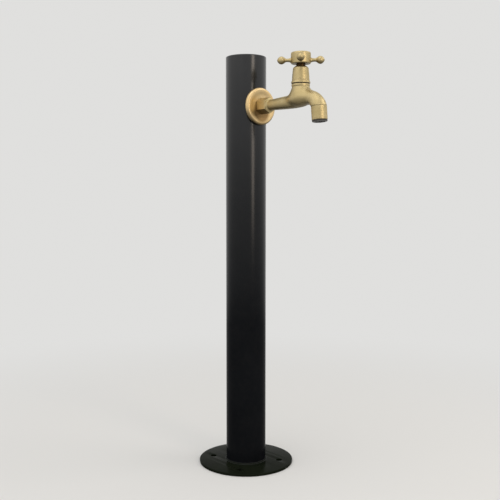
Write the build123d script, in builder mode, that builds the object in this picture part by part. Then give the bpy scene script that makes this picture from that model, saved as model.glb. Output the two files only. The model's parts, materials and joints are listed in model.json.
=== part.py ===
from build123d import *
from math import cos, hypot, radians, sin, sqrt
import os

os.makedirs("parts", exist_ok=True)

# Garden standpipe. Origin: centre of the base plate's underside. +Z up, the tap points along +X.
# Lengths are millimetres and angles are degrees.

# Column and foot
column_height = 632.0
tube_diameter = 62.0
tube_wall = 2.0
plate_diameter = 147.0
plate_thickness = 4.0
plate_edge_round = 0.8
anchor_circle = 106.0
anchor_hole_diameter = 9.0
anchor_count = 4
anchor_turn = 39.0
foot_weld_leg = 1.6
cap_thickness = 2.5
cap_edge_round = 1.2
cap_skirt_length = 12.0
cap_skirt_wall = 1.8

# Tap placement
tap_drop = 77.5
rosette_diameter = 55.8
rosette_rim = 2.7
rosette_back_round = 1.1
rosette_depth = 5.0
rosette_crown = 1.3
rosette_wall = 1.6
rosette_dish_radius = 15.2
boss_width = 21.1
boss_length = 19.2
boss_nose = 1.5
boss_nose_radius = 10.0
arm_length = 63.5
arm_start_radius = 7.8
arm_end_radius = 10.0
arm_rise = 0.6
arm_section_pitch = 8.0

# Threads are plain cylinders at their outer radius, with this gap in their holes
thread_diameter = 20.955
thread_core_diameter = 18.631
thread_gap = 0.05
part_gap = 0.1
rest_gap = 0.3
overrun = 1.0

# Supply pipe and its joints
pipe_diameter = 15.0
pipe_wall = 0.7
pipe_insertion = 14.0
joint_thread_length = 9.0
joint_nut_width = 24.0
joint_nut_length = 13.5
joint_nut_grip = 8.0
joint_nut_lip = 2.3
olive_length = 4.2
olive_swell = 1.3
olive_insertion = 1.2
inlet_thread_depth = 15.0
inlet_spigot_wall = 2.4
inlet_flange_radius = 16.5
inlet_flange_height = 3.0
inlet_hex_width = 27.0
inlet_hex_top = 17.0
inlet_neck_radius = 9.6
inlet_neck_length = 5.0
socket_weld_leg = 2.0
water_bore_radius = 6.5
elbow_socket_radius = 13.0
elbow_socket_length = 11.5
elbow_heel = 3.0
elbow_leg_radius = 9.6
elbow_leg_length = 28.0
backnut_width = 27.0
backnut_thickness = 6.0
backnut_edge = 0.6
saddle_radius = 12.5
gasket_radius = 14.0
wall_hole_radius = 11.0

# Tap body
neck_radius = 12.0
neck_root_radius = 13.4
neck_height = 23.7
neck_flange_radius = 13.1
neck_flange_height = 3.2
belly_depth = 9.6
belly_shoulder = 5.0
junction_round = 8.0
inlet_bore_radius = 4.2
inlet_bore_drop = 1.6
port_radius = 4.5
seat_radius = 6.4
seat_lip = 1.0
chamber_floor = 4.2
chamber_radius = 9.4
spout_reach = 36.3
spout_drop = 10.5
nozzle_tilt = 5.0
nozzle_radius = 11.1
nozzle_length = 21.5
nozzle_round = 0.7
spigot_radius = 9.2
spigot_bore_radius = 7.5
spigot_length = 8.5
spout_bore_radius = 7.2

# Headwork
head_washer_thickness = 0.9
head_washer_radius = 12.3
head_thread_length = 8.2
head_hex_width = 19.0
head_hex_height = 7.5
head_barrel_radius = 7.6
head_barrel_top = 44.9
spindle_thread_radius = 4.5
spindle_radius = 3.5
spindle_thread_length = 21.2
stuffing_radius = 5.6
stuffing_web = 1.0
packing_height = 3.0
gland_radius = 6.5
gland_flange_radius = 7.6
gland_top = 51.6
cover_ring_radius = 13.7
cover_ring_height = 2.7
cover_ring_taper = 0.5
cover_low_radius = 12.6
cover_low_height = 3.4
cover_mid_radius = 12.0
cover_mid_height = 12.3
cover_high_radius = 11.1
cover_high_height = 20.8
cover_crown_radius = 8.4
cover_height = 23.6
cover_wall = 1.0

# Valve
spindle_lift = 5.0
washer_thickness = 3.0
washer_radius = 7.0
jumper_plate_radius = 7.6
jumper_plate_thickness = 1.5
jumper_stem_radius = 2.9
jumper_stem_length = 10.0
jumper_rim = 1.2
jumper_stud_radius = 1.6
washer_nut_width = 5.5
washer_nut_thickness = 2.0
running_gap = 0.08

# Handle
hub_radius = 14.2
hub_height = 16.3
hub_foot_chamfer = 0.9
hub_top_radius = 12.0
hub_top_rise = 2.0
drive_square = 4.9
drive_length = 10.0
hub_web = 2.0
screw_head_radius = 3.6
screw_head_height = 2.0
screw_radius = 2.0
screw_length = 8.0
button_radius = 10.4
button_recess = 1.6
button_crown = 1.4
spoke_count = 4
spoke_turn = 45.0
spoke_level = 5.2
spoke_tip = 33.6
spoke_ball_place = 27.4
spoke_ball_radius = 5.6
spoke_ball_start = 3.4
spoke_ball_end = 3.6
spoke_tip_radius = 0.6
spoke_neck_place = 20.0
spoke_neck_radius = 2.4
spoke_root_radius = 2.7
spoke_stud_radius = 2.0
spoke_stud_length = 5.0

# Aerator
collar_washer_thickness = 1.2
aerator_rim_height = 2.2
aerator_rim_inset = 0.3
aerator_rim_round = 0.5
aerator_wall = 1.3
aerator_plate = 1.2
aerator_hole_radius = 0.8
aerator_hole_circle = 9.0
aerator_hole_count = 8
screen_thickness = 1.0
screen_bar = 0.6
screen_pitch = 2.1
screen_recess = 0.8

# Worked out from the sizes above
tube_radius = tube_diameter / 2
tube_bore = tube_radius - tube_wall
tube_top = column_height - cap_thickness
tap_height = column_height - tap_drop
thread_radius = thread_diameter / 2
pipe_radius = pipe_diameter / 2
rosette_back = tube_radius + rest_gap
boss_start = rosette_back + rosette_depth
boss_end = boss_start + boss_length
arm_start = boss_end + boss_nose
valve_place = arm_start + arm_length
arm_sections = round(arm_length / arm_section_pitch)
backnut_face = sqrt(tube_bore**2 - (backnut_width / 2) ** 2) - backnut_edge - rest_gap
backnut_back = backnut_face - backnut_thickness
elbow_mouth = backnut_back - part_gap
socket_floor = elbow_mouth - elbow_socket_length
shank_end = socket_floor + part_gap
seat_level = chamber_floor + seat_lip
head_foot = neck_height - head_thread_length
head_bore = thread_radius + thread_gap
cover_foot = neck_height + head_washer_thickness
washer_foot = seat_level + thread_gap
jumper_plate_foot = washer_foot + washer_thickness
jumper_plate_top = jumper_plate_foot + jumper_plate_thickness
spindle_foot = jumper_plate_top + thread_gap
spindle_shoulder = spindle_foot + spindle_thread_length
web_foot = spindle_shoulder + spindle_lift + rest_gap
packing_foot = web_foot + stuffing_web
packing_top = packing_foot + packing_height
hub_foot = gland_top + rest_gap
spindle_top = hub_foot + drive_length
hub_top = hub_foot + hub_height
button_seat = hub_top - button_recess
screw_seat = spindle_top + part_gap + hub_web
spoke_height = hub_foot + spoke_level
aerator_top = spigot_length + collar_washer_thickness + part_gap * 2
aerator_radius = spigot_radius - thread_gap
aerator_cup_radius = aerator_radius - aerator_wall
aerator_rim_radius = nozzle_radius - aerator_rim_inset
aerator_rim_top = nozzle_length - aerator_rim_height
collar_foot = aerator_rim_top - part_gap
inlet_mouth = inlet_hex_top + inlet_neck_length + joint_thread_length
elbow_foot = tap_height - elbow_leg_length

# Planes whose local x is the radius or +X, and whose local y is up or along the nozzle
column_plane = Plane(origin=(0, 0, 0), x_dir=(1, 0, 0), z_dir=(0, -1, 0))
tap_plane = Plane(origin=(0, 0, tap_height), x_dir=(1, 0, 0), z_dir=(0, -1, 0))
valve_plane = Plane(origin=(valve_place, 0, tap_height), x_dir=(1, 0, 0), z_dir=(0, -1, 0))
nozzle_origin = (valve_place + spout_reach, 0, tap_height - spout_drop)
nozzle_along = (sin(radians(nozzle_tilt)), 0, -cos(radians(nozzle_tilt)))
nozzle_across = (cos(radians(nozzle_tilt)), 0, sin(radians(nozzle_tilt)))
nozzle_plane = Plane(origin=nozzle_origin, x_dir=nozzle_across, z_dir=(0, 1, 0))
tap_axis = Axis((0, 0, tap_height), (1, 0, 0))
valve_axis = Axis((valve_place, 0, 0), (0, 0, 1))
nozzle_axis = Axis(nozzle_origin, nozzle_along)


def across(x):
    """Plane square to the tap's length at distance x from the column's middle."""
    return Plane(origin=(x, 0, tap_height), x_dir=(0, 1, 0), z_dir=(1, 0, 0))


def level(z):
    """Level plane on the valve's axis, at height z above the tap's axis."""
    return Plane(origin=(valve_place, 0, tap_height + z), x_dir=(1, 0, 0), z_dir=(0, 0, 1))


def down_nozzle(depth):
    """Plane across the nozzle at a depth below its top, facing down along it."""
    centre = [start + along * depth for start, along in zip(nozzle_origin, nozzle_along)]
    return Plane(origin=centre, x_dir=(0, 1, 0), z_dir=nozzle_along)


def ring_section(inner, outer, low, high):
    """Half section of a plain ring from low to high, in the sketch that is open."""
    Polygon((inner, low), (outer, low), (outer, high), (inner, high))


def save(piece, name):
    piece.label = name
    export_step(piece, f"parts/{name}.step")


# Base plate
with BuildPart() as base_plate:
    with BuildSketch():
        Circle(plate_diameter / 2)
        Circle(thread_core_diameter / 2 + inlet_spigot_wall + thread_gap, mode=Mode.SUBTRACT)
        with PolarLocations(anchor_circle / 2, anchor_count, start_angle=anchor_turn):
            Circle(anchor_hole_diameter / 2, mode=Mode.SUBTRACT)
    extrude(amount=plate_thickness)
    plate_rim = base_plate.edges().filter_by(GeomType.CIRCLE).group_by(Axis.Z)[-1].sort_by(SortBy.RADIUS)[-1]
    fillet(plate_rim, plate_edge_round)
save(base_plate.part, "base_plate")

# Column tube with the hole that the tap's shank passes through
with BuildPart() as column_tube:
    with BuildSketch(column_plane):
        ring_section(tube_bore, tube_radius, plate_thickness, tube_top)
    revolve(axis=Axis.Z)
    with BuildSketch(across(0)):
        Circle(wall_hole_radius)
    extrude(amount=tube_diameter, mode=Mode.SUBTRACT)
save(column_tube.part, "column_tube")

# Weld bead round the tube's foot
with BuildPart() as foot_weld:
    with BuildSketch(column_plane):
        Polygon(
            (tube_radius, plate_thickness),
            (tube_radius + foot_weld_leg, plate_thickness),
            (tube_radius, plate_thickness + foot_weld_leg),
        )
    revolve(axis=Axis.Z)
save(foot_weld.part, "foot_weld")

# Lid with a skirt that fits the tube
with BuildPart() as top_cap:
    with BuildSketch(Plane.XY.offset(tube_top)):
        Circle(tube_radius)
    extrude(amount=cap_thickness)
    fillet(top_cap.edges().group_by(Axis.Z)[-1], cap_edge_round)
    with BuildSketch(column_plane):
        skirt_radius = tube_bore - part_gap
        ring_section(skirt_radius - cap_skirt_wall, skirt_radius, tube_top - cap_skirt_length, tube_top)
    revolve(axis=Axis.Z)
save(top_cap.part, "top_cap")


def joint_section(mouth, way):
    """Half section of the bore for pipe and olive, in a fitting whose mouth faces way (1 up, -1 down)."""
    flare = pipe_radius + olive_swell + part_gap
    reach = olive_insertion + part_gap
    Polygon(
        (0, mouth + way * overrun),
        (flare, mouth + way * overrun),
        (flare, mouth),
        (pipe_radius + thread_gap, mouth - way * reach * 2),
        (pipe_radius + thread_gap, mouth - way * pipe_insertion),
        (0, mouth - way * pipe_insertion),
    )


# Inlet socket in the middle of the plate
with BuildPart() as inlet_socket:
    with BuildSketch():
        Circle(thread_core_diameter / 2 + inlet_spigot_wall)
    extrude(amount=plate_thickness)
    with BuildSketch(Plane.XY.offset(plate_thickness)):
        Circle(inlet_flange_radius)
    extrude(amount=inlet_flange_height)
    with BuildSketch(Plane.XY.offset(plate_thickness)):
        RegularPolygon(inlet_hex_width / 2, 6, major_radius=False)
    extrude(amount=inlet_hex_top - plate_thickness)
    with BuildSketch(Plane.XY.offset(inlet_hex_top)):
        Circle(inlet_neck_radius)
    extrude(amount=inlet_neck_length)
    with BuildSketch(Plane.XY.offset(inlet_hex_top + inlet_neck_length)):
        Circle(thread_radius)
    extrude(amount=joint_thread_length)
    with BuildSketch():
        Circle(thread_core_diameter / 2)
    extrude(amount=inlet_thread_depth, mode=Mode.SUBTRACT)
    with BuildSketch():
        Circle(water_bore_radius)
    extrude(amount=inlet_mouth, mode=Mode.SUBTRACT)
    with BuildSketch(column_plane):
        joint_section(inlet_mouth, 1)
    revolve(axis=Axis.Z, mode=Mode.SUBTRACT)
save(inlet_socket.part, "inlet_socket")

# Weld bead round the inlet socket
with BuildPart() as socket_weld:
    with BuildSketch(column_plane):
        Polygon(
            (inlet_flange_radius, plate_thickness),
            (inlet_flange_radius + socket_weld_leg, plate_thickness),
            (inlet_flange_radius, plate_thickness + socket_weld_leg),
        )
    revolve(axis=Axis.Z)
save(socket_weld.part, "socket_weld")

# Elbow behind the tap, with its leg down to the pipe
with BuildPart() as wall_elbow:
    with BuildSketch(across(-water_bore_radius - elbow_heel)):
        Circle(elbow_socket_radius)
    extrude(amount=elbow_mouth + water_bore_radius + elbow_heel)
    with BuildSketch(Plane.XY.offset(elbow_foot + joint_thread_length)):
        Circle(elbow_leg_radius)
    extrude(amount=elbow_leg_length - joint_thread_length)
    with BuildSketch(Plane.XY.offset(elbow_foot)):
        Circle(thread_radius)
    extrude(amount=joint_thread_length)
    with BuildSketch(across(socket_floor)):
        Circle(thread_radius + thread_gap)
    extrude(amount=elbow_socket_length + overrun, mode=Mode.SUBTRACT)
    with BuildSketch(across(0)):
        Circle(water_bore_radius)
    extrude(amount=elbow_mouth, mode=Mode.SUBTRACT)
    with BuildSketch(Plane.XY.offset(elbow_foot)):
        Circle(water_bore_radius)
    extrude(amount=elbow_leg_length, mode=Mode.SUBTRACT)
    with BuildSketch(column_plane):
        joint_section(elbow_foot, -1)
    revolve(axis=Axis.Z, mode=Mode.SUBTRACT)
save(wall_elbow.part, "wall_elbow")

# Pipe from the inlet socket up to the elbow
pipe_foot = inlet_mouth - pipe_insertion + part_gap
pipe_top = elbow_foot + pipe_insertion - part_gap
with BuildPart() as riser_pipe:
    with BuildSketch(column_plane):
        ring_section(pipe_radius - pipe_wall, pipe_radius, pipe_foot, pipe_top)
    revolve(axis=Axis.Z)
save(riser_pipe.part, "riser_pipe")


def pipe_joint(mouth, way, prefix):
    """Olive and nut on the pipe at a fitting whose mouth faces way (1 up, -1 down)."""
    olive_low = mouth - way * olive_insertion
    olive_high = olive_low + way * olive_length
    olive_waist = (olive_low + olive_high) / 2
    olive_bore = pipe_radius + thread_gap / 2
    olive_end = pipe_radius + olive_swell / 4
    with BuildPart() as olive:
        with BuildSketch(column_plane):
            Polygon(
                (olive_bore, olive_low),
                (olive_end, olive_low),
                (pipe_radius + olive_swell, olive_waist),
                (olive_end, olive_high),
                (olive_bore, olive_high),
            )
        revolve(axis=Axis.Z)
    save(olive.part, f"{prefix}_olive")

    nut_near = mouth - way * joint_nut_grip
    nut_far = nut_near + way * joint_nut_length
    lip = nut_far - way * joint_nut_lip
    with BuildPart() as pipe_nut:
        with BuildSketch(Plane.XY.offset(min(nut_near, nut_far))):
            RegularPolygon(joint_nut_width / 2, 6, major_radius=False)
        extrude(amount=joint_nut_length)
        with BuildSketch(column_plane):
            Polygon(
                (0, nut_near - way * overrun),
                (thread_radius + thread_gap, nut_near - way * overrun),
                (thread_radius + thread_gap, mouth + way * part_gap),
                (pipe_radius + olive_swell + part_gap, mouth + way * part_gap),
                (pipe_radius + olive_swell + part_gap, lip),
                (pipe_radius + part_gap, lip),
                (pipe_radius + part_gap, nut_far + way * overrun),
                (0, nut_far + way * overrun),
            )
        revolve(axis=Axis.Z, mode=Mode.SUBTRACT)
    save(pipe_nut.part, f"{prefix}_pipe_nut")


pipe_joint(inlet_mouth, 1, "lower")
pipe_joint(elbow_foot, -1, "upper")

# Nut on the shank inside the tube, with its hexagon's corners up and down
with BuildPart() as backnut:
    with BuildSketch(across(backnut_back)):
        RegularPolygon(backnut_width / 2, 6, major_radius=False, rotation=30)
        Circle(thread_radius + thread_gap, mode=Mode.SUBTRACT)
    extrude(amount=backnut_thickness)
save(backnut.part, "backnut")

# Saddle inside the wall, curved to the tube's bore and flat towards the nut
with BuildPart() as inner_saddle:
    with BuildSketch(across(backnut_face)):
        Circle(saddle_radius)
        Circle(thread_radius + part_gap, mode=Mode.SUBTRACT)
    extrude(amount=tube_bore - backnut_face)
    with BuildSketch():
        Circle(tube_bore - part_gap)
    extrude(amount=column_height, mode=Mode.INTERSECT)
save(inner_saddle.part, "inner_saddle")

# Rubber saddle outside the wall, behind the rosette
gasket_face = rosette_back + rosette_depth - rosette_wall - part_gap
with BuildPart() as saddle_gasket:
    with BuildSketch(across(0)):
        Circle(gasket_radius)
        Circle(thread_radius + part_gap, mode=Mode.SUBTRACT)
    extrude(amount=gasket_face)
    with BuildSketch():
        Circle(tube_radius + thread_gap)
    extrude(amount=column_height, mode=Mode.SUBTRACT)
save(saddle_gasket.part, "saddle_gasket")

# Rosette, a thin dish with a rolled rim
rosette_radius = rosette_diameter / 2
rosette_rim_front = rosette_back + rosette_rim
rosette_face = rosette_back + rosette_depth
crown_front = rosette_face + rosette_crown
crown_radius = rosette_radius - (crown_front - rosette_rim_front)
rosette_bore = thread_radius + thread_gap
with BuildPart() as rosette:
    with BuildSketch(tap_plane):
        with BuildLine():
            CenterArc(
                (rosette_back + rosette_back_round, rosette_radius - rosette_back_round),
                rosette_back_round,
                90,
                90,
            )
            Line(
                (rosette_back + rosette_back_round, rosette_radius),
                (rosette_rim_front, rosette_radius),
            )
            rim_roll = TangentArc(
                (rosette_rim_front, rosette_radius), (crown_front, crown_radius), tangent=(1, 0)
            )
            dish = TangentArc(rim_roll @ 1, (rosette_face, rosette_dish_radius), tangent=rim_roll % 1)
            Polyline(
                dish @ 1,
                (rosette_face, rosette_bore),
                (rosette_face - rosette_wall, rosette_bore),
                (rosette_face - rosette_wall, rosette_dish_radius),
                (crown_front - rosette_wall, crown_radius),
                (rosette_rim_front, rosette_radius - rosette_wall),
                (rosette_back, rosette_radius - rosette_wall),
                (rosette_back, rosette_radius - rosette_back_round),
            )
        make_face()
    revolve(axis=tap_axis)
save(rosette.part, "rosette")

# Spout sections: share of reach, share of drop, downward tilt, share of nozzle radius
spout_section_shares = (
    (0.248, 0.181, 2, 0.903),
    (0.482, 0.262, 12, 0.917),
    (0.689, 0.114, 31, 0.926),
    (0.86, -0.286, 53, 0.954),
    (1.0, -1.0, 85, 1.0),
)
# Water passage in the spout: the same measures, with the radius as a share of the bore at its end
passage_section_shares = (
    (0.18, 0.8, 0, 0.52),
    (0.386, 0.571, 12, 0.64),
    (0.592, 0.305, 26, 0.764),
    (0.771, -0.057, 44, 0.875),
    (0.909, -0.476, 63, 0.944),
    (1.0, -1.0, 85, 1.0),
)


def tilted(x, z, tilt):
    """Plane across the spout at x from the valve's axis and height z, facing tilt degrees down."""
    facing = (cos(radians(tilt)), 0, -sin(radians(tilt)))
    return Plane(origin=(valve_place + x, 0, tap_height + z), x_dir=(0, 1, 0), z_dir=facing)


# Tap body: arm and spout, then neck and belly, then the hexagon and the threads, then the waterways
with BuildPart() as tap_body:
    for step in range(arm_sections + 1):
        share = step / arm_sections
        swell = (arm_end_radius - arm_start_radius) * sin(radians(90 * share))
        with BuildSketch(tilted((share - 1) * arm_length, share * arm_rise, 0)):
            Circle(arm_start_radius + swell)
    for reach_share, drop_share, tilt, radius_share in spout_section_shares:
        with BuildSketch(tilted(reach_share * spout_reach, drop_share * spout_drop, tilt)):
            Circle(radius_share * nozzle_radius)
    loft()
    with BuildSketch(valve_plane):
        with BuildLine():
            Polyline(
                (neck_root_radius, belly_shoulder),
                (neck_radius, neck_height - neck_flange_height - neck_flange_radius + neck_radius),
                (neck_flange_radius, neck_height - neck_flange_height),
                (neck_flange_radius, neck_height),
                (0, neck_height),
                (0, -belly_depth),
            )
            TangentArc((neck_root_radius, belly_shoulder), (0, -belly_depth), tangent=(0, -1))
        make_face()
    revolve(axis=valve_axis)
    junctions = [
        edge
        for edge in tap_body.edges().filter_by(GeomType.BSPLINE)
        if hypot(edge.center().X - valve_place, edge.center().Y) < neck_root_radius + part_gap
    ]
    fillet(junctions, junction_round)
    with BuildSketch(across(boss_start)):
        RegularPolygon(boss_width / 2, 6, major_radius=False, rotation=30)
    extrude(amount=boss_length)
    with BuildSketch(tap_plane):
        Polygon((boss_end, 0), (boss_end, boss_nose_radius), (arm_start, arm_start_radius), (arm_start, 0))
    revolve(axis=tap_axis)
    with BuildSketch(across(shank_end)):
        Circle(thread_radius)
    extrude(amount=boss_start - shank_end)
    with BuildSketch(down_nozzle(0)):
        Circle(spigot_radius)
    extrude(amount=spigot_length)
    # Shank bore, the narrower bore below the seat, and the port with the chamber above it
    with BuildSketch(across(shank_end)):
        Circle(water_bore_radius)
    extrude(amount=boss_end - shank_end, mode=Mode.SUBTRACT)
    with BuildSketch(across(shank_end)):
        with Locations((0, -inlet_bore_drop)):
            Circle(inlet_bore_radius)
    extrude(amount=valve_place + port_radius - shank_end, mode=Mode.SUBTRACT)
    with BuildSketch(valve_plane):
        Polygon(
            (0, -inlet_bore_drop),
            (port_radius, -inlet_bore_drop),
            (port_radius, seat_level),
            (seat_radius, seat_level),
            (seat_radius, chamber_floor),
            (chamber_radius, chamber_floor),
            (chamber_radius, head_foot),
            (head_bore, head_foot),
            (head_bore, neck_height + overrun),
            (0, neck_height + overrun),
        )
    revolve(axis=valve_axis, mode=Mode.SUBTRACT)
    # Passage from the chamber round the bend and through the spigot
    for reach_share, drop_share, tilt, radius_share in passage_section_shares:
        with BuildSketch(tilted(reach_share * spout_reach, drop_share * spout_drop, tilt)):
            Circle(radius_share * spout_bore_radius)
    loft(mode=Mode.SUBTRACT)
    with BuildSketch(down_nozzle(-overrun)):
        Circle(spigot_bore_radius)
    extrude(amount=spigot_length + overrun, mode=Mode.SUBTRACT)
save(tap_body.part, "tap_body")

# Washer between neck and headwork
with BuildPart() as head_washer:
    with BuildSketch(valve_plane):
        ring_section(head_bore, head_washer_radius, neck_height, cover_foot)
    revolve(axis=valve_axis)
save(head_washer.part, "head_washer")

# Headwork body: thread, hexagon and barrel, with the spindle's bore and the stuffing box
with BuildPart() as headwork_body:
    with BuildSketch(level(head_foot + part_gap)):
        Circle(thread_radius)
    extrude(amount=cover_foot - head_foot - part_gap)
    with BuildSketch(level(cover_foot)):
        RegularPolygon(head_hex_width / 2, 6, major_radius=False)
    extrude(amount=head_hex_height)
    with BuildSketch(level(cover_foot)):
        Circle(head_barrel_radius)
    extrude(amount=head_barrel_top - cover_foot)
    with BuildSketch(valve_plane):
        Polygon(
            (0, head_foot),
            (spindle_thread_radius + running_gap, head_foot),
            (spindle_thread_radius + running_gap, web_foot),
            (spindle_radius + running_gap, web_foot),
            (spindle_radius + running_gap, packing_foot),
            (stuffing_radius, packing_foot),
            (stuffing_radius, head_barrel_top + overrun),
            (0, head_barrel_top + overrun),
        )
    revolve(axis=valve_axis, mode=Mode.SUBTRACT)
save(headwork_body.part, "headwork_body")

# Packing ring round the spindle
with BuildPart() as gland_packing:
    with BuildSketch(valve_plane):
        ring_section(spindle_radius + running_gap, stuffing_radius - thread_gap, packing_foot, packing_top)
    revolve(axis=valve_axis)
save(gland_packing.part, "gland_packing")

# Gland nut: thread in the stuffing box, a flange on the barrel and a round head
gland_bore = spindle_radius + running_gap
gland_flange_foot = head_barrel_top + thread_gap
gland_flange_top = cover_foot + cover_height - cover_wall - part_gap
with BuildPart() as gland_nut:
    with BuildSketch(valve_plane):
        Polygon(
            (gland_bore, packing_top + thread_gap),
            (stuffing_radius - thread_gap, packing_top + thread_gap),
            (stuffing_radius - thread_gap, gland_flange_foot),
            (gland_flange_radius, gland_flange_foot),
            (gland_flange_radius, gland_flange_top),
            (gland_radius, gland_flange_top),
            (gland_radius, gland_top),
            (gland_bore, gland_top),
        )
    revolve(axis=valve_axis)
save(gland_nut.part, "gland_nut")

# Tapered cover over the headwork, with a ring at its foot and a hole in its crown
cover_hole = gland_radius + part_gap
cover_base = cover_foot + part_gap
with BuildPart() as headwork_cover:
    with BuildSketch(valve_plane):
        Polygon(
            (cover_ring_radius, cover_base),
            (cover_ring_radius - cover_ring_taper, cover_base + cover_ring_height),
            (cover_low_radius, cover_base + cover_low_height),
            (cover_mid_radius, cover_base + cover_mid_height),
            (cover_high_radius, cover_base + cover_high_height),
            (cover_crown_radius, cover_base + cover_height),
            (cover_hole, cover_base + cover_height),
            (cover_hole, cover_base + cover_height - cover_wall),
            (cover_crown_radius - cover_wall / 2, cover_base + cover_height - cover_wall),
            (cover_high_radius - cover_wall, cover_base + cover_high_height - cover_wall / 2),
            (cover_mid_radius - cover_wall, cover_base + cover_mid_height),
            (cover_low_radius - cover_wall, cover_base + cover_low_height),
            (cover_ring_radius - cover_wall * 2, cover_base),
        )
    revolve(axis=valve_axis)
save(headwork_cover.part, "headwork_cover")

# Spindle: thread, plain neck and the square that drives the handle
with BuildPart() as spindle:
    with BuildSketch(level(spindle_foot)):
        Circle(spindle_thread_radius)
    extrude(amount=spindle_thread_length)
    with BuildSketch(level(spindle_shoulder)):
        Circle(spindle_radius)
    extrude(amount=hub_foot - spindle_shoulder)
    with BuildSketch(level(hub_foot)):
        Rectangle(drive_square, drive_square)
    extrude(amount=drive_length)
    with BuildSketch(level(spindle_foot)):
        Circle(jumper_stem_radius + running_gap)
    extrude(amount=jumper_stem_length + rest_gap, mode=Mode.SUBTRACT)
    with BuildSketch(level(spindle_top - screw_length)):
        Circle(screw_radius + thread_gap)
    extrude(amount=screw_length, mode=Mode.SUBTRACT)
save(spindle.part, "spindle")

# Jumper valve: stem in the spindle, plate with a rim round the washer, and a stud for its nut
stud_end = washer_foot - washer_nut_thickness - rest_gap
with BuildPart() as jumper_valve:
    with BuildSketch(valve_plane):
        Polygon(
            (0, stud_end),
            (jumper_stud_radius, stud_end),
            (jumper_stud_radius, jumper_plate_foot),
            (washer_radius + thread_gap, jumper_plate_foot),
            (washer_radius + thread_gap, jumper_plate_foot - jumper_rim),
            (jumper_plate_radius, jumper_plate_foot - jumper_rim),
            (jumper_plate_radius, jumper_plate_top),
            (jumper_stem_radius, jumper_plate_top),
            (jumper_stem_radius, jumper_plate_top + jumper_stem_length),
            (0, jumper_plate_top + jumper_stem_length),
        )
    revolve(axis=valve_axis)
save(jumper_valve.part, "jumper_valve")

# Rubber washer that closes on the seat
with BuildPart() as seat_washer:
    with BuildSketch(valve_plane):
        ring_section(jumper_stud_radius + thread_gap, washer_radius, washer_foot, jumper_plate_foot)
    revolve(axis=valve_axis)
save(seat_washer.part, "seat_washer")

# Nut that holds the washer
with BuildPart() as washer_nut:
    with BuildSketch(level(washer_foot - washer_nut_thickness)):
        RegularPolygon(washer_nut_width / 2, 6, major_radius=False)
        Circle(jumper_stud_radius + thread_gap, mode=Mode.SUBTRACT)
    extrude(amount=washer_nut_thickness)
save(washer_nut.part, "washer_nut")

# Handle hub
with BuildPart() as handle_hub:
    with BuildSketch(valve_plane):
        with BuildLine():
            Polyline(
                (0, hub_top),
                (0, hub_foot),
                (hub_radius - hub_foot_chamfer, hub_foot),
                (hub_radius, hub_foot + hub_foot_chamfer),
                (hub_radius, hub_top - hub_top_rise),
            )
            hub_shoulder = TangentArc(
                (hub_radius, hub_top - hub_top_rise), (hub_top_radius, hub_top), tangent=(0, 1)
            )
            Line(hub_shoulder @ 1, (0, hub_top))
        make_face()
    revolve(axis=valve_axis)
    with BuildSketch(level(button_seat)):
        Circle(button_radius + part_gap)
    extrude(amount=button_recess + overrun, mode=Mode.SUBTRACT)
    with BuildSketch(level(hub_foot)):
        Rectangle(drive_square + part_gap, drive_square + part_gap)
    extrude(amount=drive_length + part_gap, mode=Mode.SUBTRACT)
    with BuildSketch(level(hub_foot)):
        Circle(screw_radius + part_gap)
    extrude(amount=hub_height, mode=Mode.SUBTRACT)
    with BuildSketch(level(screw_seat)):
        Circle(screw_head_radius + part_gap)
    extrude(amount=hub_height, mode=Mode.SUBTRACT)
    for number in range(spoke_count):
        turn = radians(spoke_turn + 360 / spoke_count * number)
        outwards = (cos(turn), sin(turn), 0)
        with BuildSketch(Plane(origin=(valve_place, 0, tap_height + spoke_height), z_dir=outwards)):
            Circle(spoke_stud_radius + thread_gap)
        extrude(amount=hub_radius + overrun, mode=Mode.SUBTRACT)
save(handle_hub.part, "handle_hub")


def handle_spoke(number):
    """Turned spoke: stud, neck that flares into a ball, and a blunt tip."""
    turn = radians(spoke_turn + 360 / spoke_count * number)
    along = (cos(turn), sin(turn), 0)
    middle = (valve_place, 0, tap_height + spoke_height)
    root = hub_radius + thread_gap
    ball_start = spoke_ball_place - spoke_ball_start
    ball_end = spoke_ball_place + spoke_ball_end
    ball_start_radius = sqrt(spoke_ball_radius**2 - spoke_ball_start**2)
    ball_end_radius = sqrt(spoke_ball_radius**2 - spoke_ball_end**2)
    with BuildPart() as spoke:
        with BuildSketch(Plane(origin=middle, x_dir=along, z_dir=(sin(turn), -cos(turn), 0))):
            with BuildLine():
                Polyline(
                    (hub_radius - spoke_stud_length, 0),
                    (hub_radius - spoke_stud_length, spoke_stud_radius),
                    (root, spoke_stud_radius),
                    (root, spoke_root_radius),
                    (spoke_neck_place, spoke_neck_radius),
                )
                flare = TangentArc(
                    (spoke_neck_place, spoke_neck_radius), (ball_start, ball_start_radius), tangent=(1, 0)
                )
                ThreePointArc(
                    flare @ 1, (spoke_ball_place, spoke_ball_radius), (ball_end, ball_end_radius)
                )
                Polyline(
                    (ball_end, ball_end_radius),
                    (spoke_tip, spoke_tip_radius),
                    (spoke_tip, 0),
                    (hub_radius - spoke_stud_length, 0),
                )
            make_face()
        revolve(axis=Axis(middle, along))
    save(spoke.part, f"handle_spoke_{number + 1}")


for number in range(spoke_count):
    handle_spoke(number)

# Screw that holds the hub on the spindle
with BuildPart() as handle_screw:
    with BuildSketch(level(screw_seat)):
        Circle(screw_head_radius)
    extrude(amount=screw_head_height)
    with BuildSketch(level(spindle_top - screw_length + rest_gap)):
        Circle(screw_radius)
    extrude(amount=screw_seat - spindle_top + screw_length - rest_gap)
save(handle_screw.part, "handle_screw")

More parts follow.
